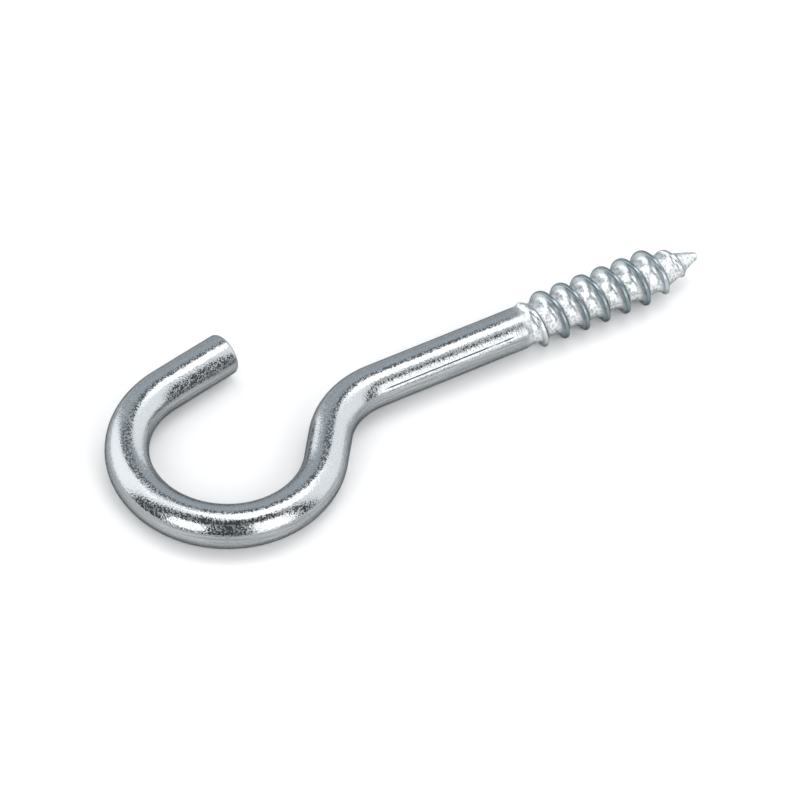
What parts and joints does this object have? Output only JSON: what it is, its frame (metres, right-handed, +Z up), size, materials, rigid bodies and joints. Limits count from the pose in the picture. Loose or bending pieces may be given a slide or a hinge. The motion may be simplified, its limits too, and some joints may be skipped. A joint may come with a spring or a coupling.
{
  "type": "screw hook",
  "caption": "Open screw hook: one round rod bent into an open bowl, with a rolled wood-screw thread and a gimlet point.",
  "frame": {"origin": "on the shank's axis where the thread starts, which is where the face of the wall or beam comes", "axes": "+X along the shank's axis towards the point, +Y in the plane of the bowl towards the side of its free end, +Z square to the plane of the bowl; the hook lies flat with +Z up"},
  "size_m": [0.0789, 0.0298, 0.0064],
  "materials": {
    "zinc_plate": "bright zinc plate"
  },
  "bodies": {
    "root": {"screw_hook": "zinc_plate"}
  },
  "joints": []
}
